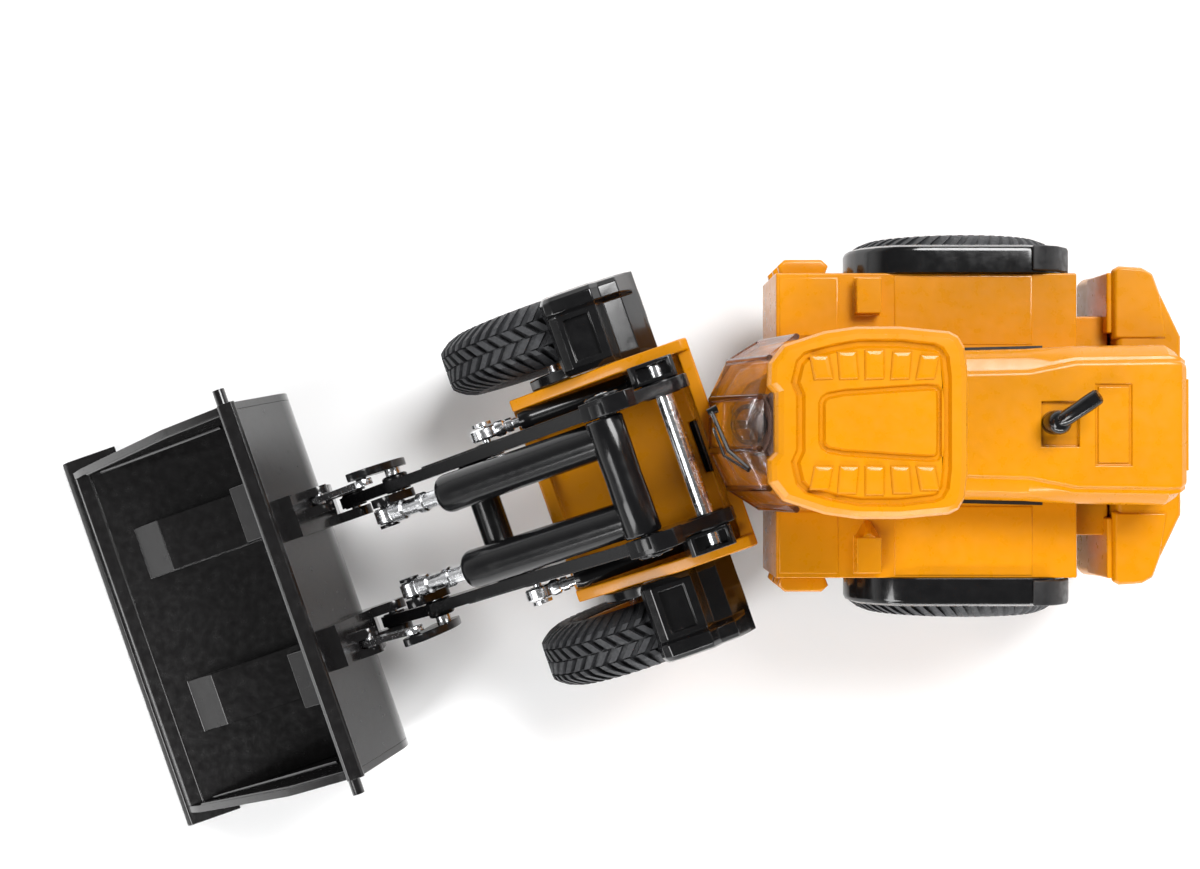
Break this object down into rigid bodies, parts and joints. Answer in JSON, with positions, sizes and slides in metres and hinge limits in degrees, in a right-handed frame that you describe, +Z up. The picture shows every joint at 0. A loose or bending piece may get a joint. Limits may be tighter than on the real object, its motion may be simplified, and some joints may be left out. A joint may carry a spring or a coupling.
{
  "type": "toy wheel loader",
  "caption": "Toy articulated wheel loader with pivoting front half, lifting boom, tilting bucket, rolling wheels and glazed cab.",
  "frame": {"origin": "on the ground, under the middle of the footprint with the front half steered left", "axes": "+X forwards along the rear half, +Y to the loader's left, +Z up"},
  "size_m": [0.1719, 0.0927, 0.0692],
  "materials": {
    "body_yellow": "semi-gloss orange-yellow enamel on die-cast metal",
    "black_gloss": "gloss moulded plastic",
    "black_arm": "gloss enamel on die-cast metal",
    "black_bucket": "gloss moulded plastic",
    "black_satin": "satin moulded plastic",
    "steel": "bright zinc plated",
    "tyre_rubber": "soft grey-black rubber",
    "rim_yellow": "moulded plastic",
    "clear_glass": "clear moulded plastic",
    "seat_grey": "matt moulded plastic"
  },
  "bodies": {
    "rear_frame": {"rear_chassis": "black_satin", "rear_body": "body_yellow", "counterweight": "body_yellow", "engine_hood": "body_yellow", "exhaust_stack": "black_gloss", "cab_floor": "body_yellow", "cab_glazing": "clear_glass", "cab_roof": "body_yellow", "seat": "seat_grey", "steering_wheel": "black_satin", "wiper": "black_satin", "rear_fender_left": "black_gloss", "rear_fender_right": "black_gloss"},
    "rear_wheels": {"rear_axle": "steel", "rear_rim_left": "rim_yellow", "rear_rim_right": "rim_yellow", "rear_tyre_left": "tyre_rubber", "rear_tyre_right": "tyre_rubber"},
    "front_frame": {"front_body": "body_yellow", "front_keel": "black_satin", "articulation_pin": "steel", "front_fender_left": "black_gloss", "front_fender_right": "black_gloss", "pivot_bracket_left": "black_gloss", "pivot_bracket_right": "black_gloss", "pivot_shaft": "steel", "lift_base_pins": "steel"},
    "front_wheels": {"front_axle": "steel", "front_rim_left": "rim_yellow", "front_rim_right": "rim_yellow", "front_tyre_left": "tyre_rubber", "front_tyre_right": "tyre_rubber"},
    "boom": {"boom_arm_left": "black_arm", "boom_arm_right": "black_arm", "boom_cross_beam": "black_arm", "lift_eye_pins": "steel"},
    "lift_barrels": {"lift_barrel_left": "black_gloss", "lift_barrel_right": "black_gloss"},
    "lift_rods": {"lift_rod_left": "steel", "lift_rod_right": "steel"},
    "tilt_yoke": {"tilt_yoke": "black_gloss"},
    "tilt_rods": {"tilt_rod_left": "steel", "tilt_rod_right": "steel"},
    "tilt_levers": {"lever_crank_left": "black_arm", "lever_crank_right": "black_arm", "lever_shaft_left": "steel", "lever_shaft_right": "steel", "tilt_lever_left": "black_arm", "tilt_lever_right": "black_arm"},
    "tilt_links": {"tilt_link_left": "steel", "tilt_link_right": "steel"},
    "bucket": {"bucket": "black_bucket", "bucket_cheek_left": "black_bucket", "bucket_cheek_right": "black_bucket", "cutting_edge": "black_bucket", "bucket_bracket_left": "black_bucket", "bucket_bracket_right": "black_bucket", "bucket_pins_left": "steel", "bucket_pins_right": "steel"}
  },
  "joints": [
    {"name": "steering", "type": "hinge", "parent": "rear_frame", "child": "front_frame", "pos_m": [-0.025, -0.0182, 0.018], "axis": [0, 0, 1], "range_deg": [-44.3, 5.7]},
    {"name": "rear_axle_roll", "type": "hinge", "parent": "rear_frame", "child": "rear_wheels", "pos_m": [-0.055, -0.0182, 0.016], "axis": [0, 1, 0], "continuous": true},
    {"name": "front_axle_roll", "type": "hinge", "parent": "front_frame", "child": "front_wheels", "pos_m": [-0.00046, -0.00961, 0.016], "axis": [-0.3305, 0.9438, 0], "continuous": true},
    {"name": "boom_lift", "type": "hinge", "parent": "front_frame", "child": "boom", "pos_m": [-0.01311, -0.01404, 0.041], "axis": [0.3305, -0.9438, 0], "range_deg": [0, 40]},
    {"name": "lift_barrel_swing", "type": "hinge", "parent": "front_frame", "child": "lift_barrels", "pos_m": [-0.01179, -0.01357, 0.028], "axis": [0.3305, -0.9438, 0], "range_deg": [-0.5, 37.15]},
    {"name": "lift_rod_slide", "type": "slide", "parent": "lift_barrels", "child": "lift_rods", "axis": [0.9436, 0.3304, -0.02], "range_m": [-0.0002, 0.00901]},
    {"name": "bucket_tilt", "type": "hinge", "parent": "boom", "child": "bucket", "pos_m": [0.03399, 0.00246, 0.011], "axis": [0.3305, -0.9438, 0], "range_deg": [-35, 20]},
    {"name": "lever_swing", "type": "hinge", "parent": "boom", "child": "tilt_levers", "pos_m": [0.02644, -0.00019, 0.0195], "axis": [0.3305, -0.9438, 0], "range_deg": [-35.5, 20.5]},
    {"name": "link_swing", "type": "hinge", "parent": "tilt_levers", "child": "tilt_links", "pos_m": [0.03002, 0.00107, 0.0287], "axis": [0.3305, -0.9438, 0], "range_deg": [-20.5, 35.5]},
    {"name": "tilt_barrel_swing", "type": "hinge", "parent": "boom", "child": "tilt_yoke", "pos_m": [-0.00521, -0.01127, 0.04463], "axis": [0.3305, -0.9438, 0], "range_deg": [-1, 1]},
    {"name": "tilt_rod_slide", "type": "slide", "parent": "tilt_yoke", "child": "tilt_rods", "axis": [0.8174, 0.2862, -0.5], "range_m": [-0.003, 0.0045]}
  ],
  "couplings": [
    {"joint": "lift_barrel_swing", "follows": "boom_lift", "ratio": 0.91626},
    {"joint": "lift_rod_slide", "follows": "boom_lift", "m_per_rad": 0.012624},
    {"joint": "lever_swing", "follows": "bucket_tilt", "ratio": 1},
    {"joint": "link_swing", "follows": "bucket_tilt", "ratio": -1},
    {"joint": "tilt_barrel_swing", "follows": "bucket_tilt", "ratio": 0.014685},
    {"joint": "tilt_rod_slide", "follows": "bucket_tilt", "m_per_rad": -0.0047816}
  ]
}
